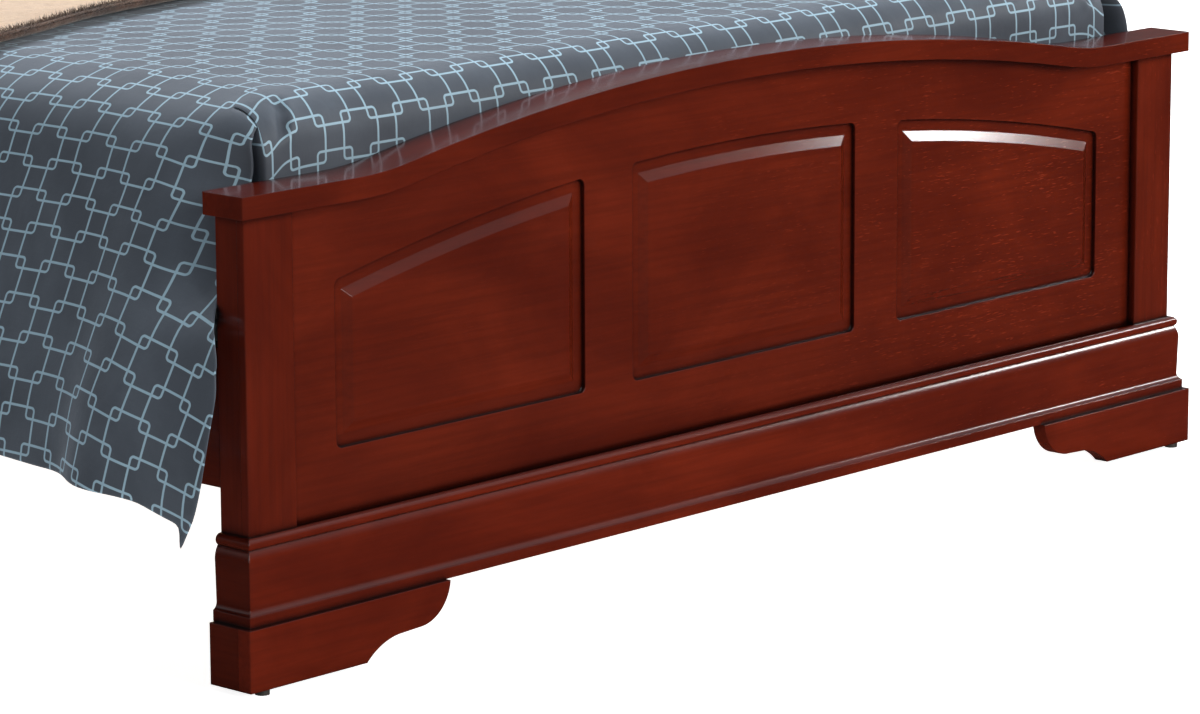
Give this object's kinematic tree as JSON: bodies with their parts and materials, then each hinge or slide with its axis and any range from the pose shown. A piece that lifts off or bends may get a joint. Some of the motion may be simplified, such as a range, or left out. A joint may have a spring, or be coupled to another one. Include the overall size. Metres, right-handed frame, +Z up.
{
  "type": "panel bed",
  "caption": "Wooden panel bed with arched head and foot boards, raised fields, moulded plinth, bracket feet, slatted deck and made-up bedding.",
  "frame": {"origin": "on the floor under the middle of the whole bed's length and width", "axes": "+X across the bed, to the right seen from the foot; +Y from the footboard to the headboard; +Z up"},
  "size_m": [1.8326, 2.1926, 1.1915],
  "materials": {
    "cherry_lacquer": "satin-gloss lacquer, dark red-brown cherry",
    "plain_timber": "planed, unfinished softwood",
    "zinc_steel": "zinc plated",
    "brass_sleeve": "turned",
    "glide_plastic": "moulded",
    "mattress_ticking": "quilted woven ticking",
    "coverlet_cloth": "woven lattice pattern in slate blue",
    "throw_fleece": "short-pile fleece with a dark edge"
  },
  "bodies": {
    "frame": {"beam_hanger_screws": "zinc_steel", "beam_hangers": "zinc_steel", "centre_beam": "plain_timber", "centre_leg_1": "plain_timber", "centre_leg_2": "plain_timber", "centre_leg_3": "plain_timber", "cleat_screws": "zinc_steel", "foot_bracket_front_left": "cherry_lacquer", "foot_bracket_front_right": "cherry_lacquer", "foot_bracket_side_left": "cherry_lacquer", "foot_bracket_side_right": "cherry_lacquer", "footboard_bottom_rail": "plain_timber", "footboard_cap": "cherry_lacquer", "footboard_glides": "glide_plastic", "footboard_glue_blocks": "plain_timber", "footboard_panel": "cherry_lacquer", "footboard_pilaster_left": "cherry_lacquer", "footboard_pilaster_right": "cherry_lacquer", "footboard_plinth_backing": "plain_timber", "footboard_plinth_front": "cherry_lacquer", "footboard_plinth_return_left": "cherry_lacquer", "footboard_plinth_return_right": "cherry_lacquer", "footboard_post_left": "cherry_lacquer", "footboard_post_right": "cherry_lacquer", "headboard_cap": "cherry_lacquer", "headboard_glides": "glide_plastic", "headboard_lower_rail": "plain_timber", "headboard_panel": "cherry_lacquer", "headboard_pilaster_left": "cherry_lacquer", "headboard_pilaster_right": "cherry_lacquer", "headboard_post_left": "cherry_lacquer", "headboard_post_right": "cherry_lacquer", "leg_thread_inserts": "brass_sleeve", "post_strike_plates": "zinc_steel", "rail_hook_plates": "zinc_steel", "rail_plate_screws": "zinc_steel", "side_rail_left": "cherry_lacquer", "side_rail_right": "cherry_lacquer", "slat_01": "plain_timber", "slat_02": "plain_timber", "slat_03": "plain_timber", "slat_04": "plain_timber", "slat_05": "plain_timber", "slat_06": "plain_timber", "slat_07": "plain_timber", "slat_08": "plain_timber", "slat_09": "plain_timber", "slat_10": "plain_timber", "slat_11": "plain_timber", "slat_cleat_left": "plain_timber", "slat_cleat_right": "plain_timber", "slat_screws": "zinc_steel"},
    "leg_leveller_1": {"leg_leveller_1": "glide_plastic"},
    "leg_leveller_2": {"leg_leveller_2": "glide_plastic"},
    "leg_leveller_3": {"leg_leveller_3": "glide_plastic"},
    "box_spring": {"box_spring": "mattress_ticking"},
    "mattress": {"mattress": "mattress_ticking"},
    "coverlet": {"coverlet": "coverlet_cloth"},
    "throw_blanket": {"throw_blanket": "throw_fleece"}
  },
  "joints": [
    {"name": "leg_leveller_1_screw_out", "type": "slide", "parent": "frame", "child": "leg_leveller_1", "axis": [0, 0, -1], "range_m": [0, 0.012]},
    {"name": "leg_leveller_2_screw_out", "type": "slide", "parent": "frame", "child": "leg_leveller_2", "axis": [0, 0, -1], "range_m": [0, 0.012]},
    {"name": "leg_leveller_3_screw_out", "type": "slide", "parent": "frame", "child": "leg_leveller_3", "axis": [0, 0, -1], "range_m": [0, 0.012]},
    {"name": "box_spring_lift", "type": "slide", "parent": "frame", "child": "box_spring", "axis": [0, 0, 1], "range_m": [0, 0.4]},
    {"name": "mattress_lift", "type": "slide", "parent": "box_spring", "child": "mattress", "axis": [0, 0, 1], "range_m": [0, 0.25]},
    {"name": "coverlet_lift", "type": "slide", "parent": "mattress", "child": "coverlet", "axis": [0, 0, 1], "range_m": [0, 0.5]},
    {"name": "throw_lift", "type": "slide", "parent": "coverlet", "child": "throw_blanket", "axis": [0, 0, 1], "range_m": [0, 0.35]}
  ]
}
